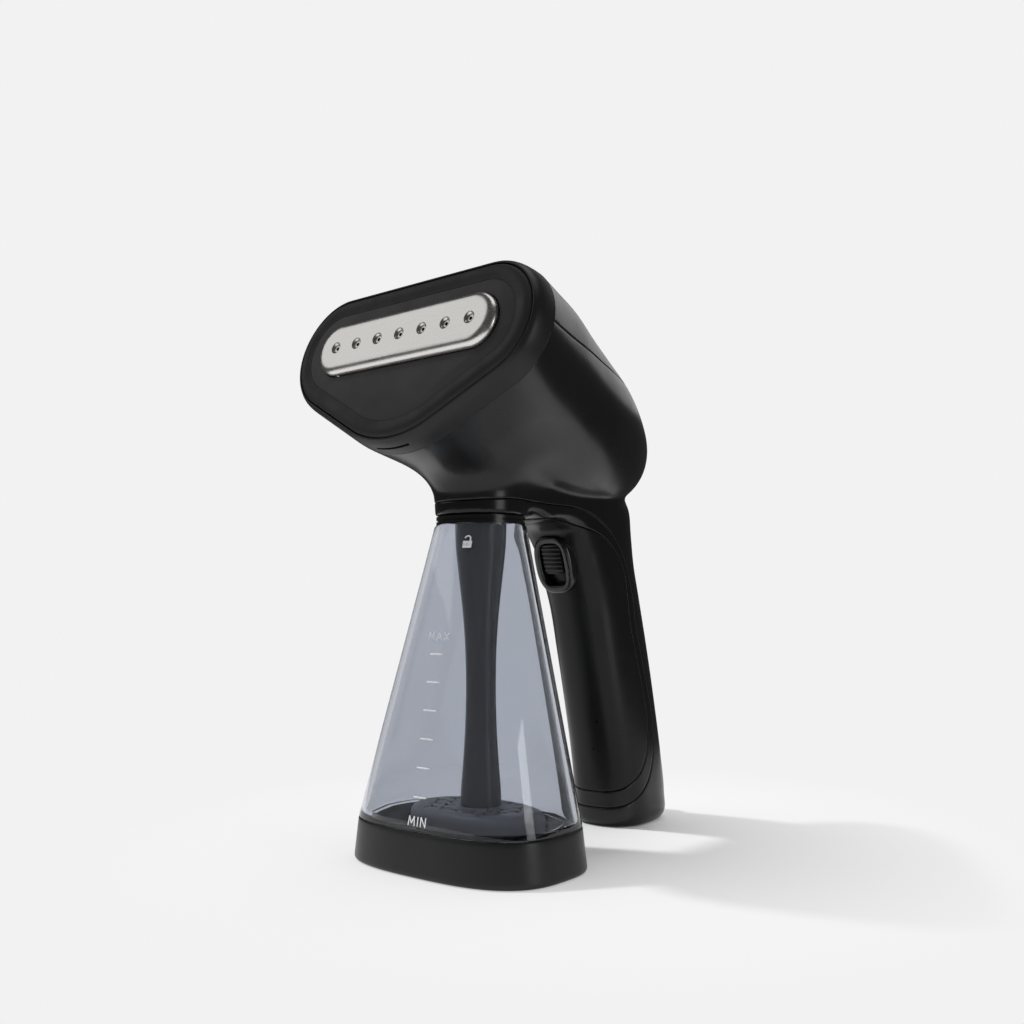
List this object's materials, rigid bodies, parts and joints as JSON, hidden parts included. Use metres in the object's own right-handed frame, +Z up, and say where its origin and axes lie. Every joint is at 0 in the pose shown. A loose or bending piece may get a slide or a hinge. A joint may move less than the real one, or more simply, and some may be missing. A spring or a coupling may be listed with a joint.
{
  "type": "garment steamer",
  "caption": "Handheld garment steamer: wide tilted steam head with a holed steel plate, looped handle with slide switch, clear tapered pull-off water tank on a dark base.",
  "frame": {"origin": "on the plane the steamer stands on, where the vertical axis of the tank neck meets it", "axes": "+Z up along the tank neck, -Y the way the steam plate faces, X across the symmetric width"},
  "size_m": [0.1344, 0.1884, 0.2369],
  "materials": {
    "shell_black": "gloss",
    "cover_black": "satin",
    "trim_black": "satin",
    "grip_black": "satin",
    "bezel_black": "satin",
    "pad_rubber": "matte",
    "panel_grey": "matte",
    "plate_steel": "satin",
    "gasket_red": "matte",
    "chamber_alu": "cast",
    "heater_steel": "matte",
    "ceramic_white": "matte",
    "port_grey": "matte",
    "hose_silicone": "matte",
    "pump_blue": "matte",
    "board_green": "satin",
    "nylon_white": "matte",
    "cord_rubber": "matte",
    "tank_smoke": "gloss",
    "base_black": "satin",
    "cap_black": "satin",
    "ring_grey": "matte",
    "column_smoke": "satin",
    "filter_grey": "matte",
    "switch_black": "satin",
    "slider_black": "matte"
  },
  "bodies": {
    "housing": {"main_shell": "shell_black", "top_cover": "cover_black", "side_trim": "trim_black", "grip_panel": "grip_black", "front_bezel": "bezel_black", "face_pad": "pad_rubber", "face_panel": "panel_grey", "steam_plate": "plate_steel", "chamber_gasket": "gasket_red", "steam_chamber": "chamber_alu", "heating_element": "heater_steel", "thermostat": "ceramic_white", "thermal_fuse": "ceramic_white", "inlet_port": "port_grey", "inlet_hose": "hose_silicone", "steam_hose": "hose_silicone", "water_pump": "pump_blue", "control_board": "board_green", "terminal_block": "nylon_white", "cord_inlet": "cord_rubber", "switch_bezel": "switch_black", "trigger_switch": "nylon_white"},
    "lock": {"lock_ring": "ring_grey"},
    "tank": {"tank_shell": "tank_smoke", "tank_base": "base_black", "tank_cap": "cap_black", "uptake_tube": "column_smoke", "filter_puck": "filter_grey"},
    "slider": {"switch_slider": "slider_black"}
  },
  "joints": [
    {"name": "tank_twist", "type": "hinge", "parent": "housing", "child": "lock", "pos_m": [0, 0, 0.149], "axis": [0, 0, -1], "range_deg": [0, 30]},
    {"name": "tank_pull", "type": "slide", "parent": "lock", "child": "tank", "axis": [0, 0, -1], "range_m": [0, 0.02]},
    {"name": "switch_slide", "type": "slide", "parent": "housing", "child": "slider", "axis": [0, 0.2924, -0.9563], "range_m": [0, 0.005]}
  ]
}
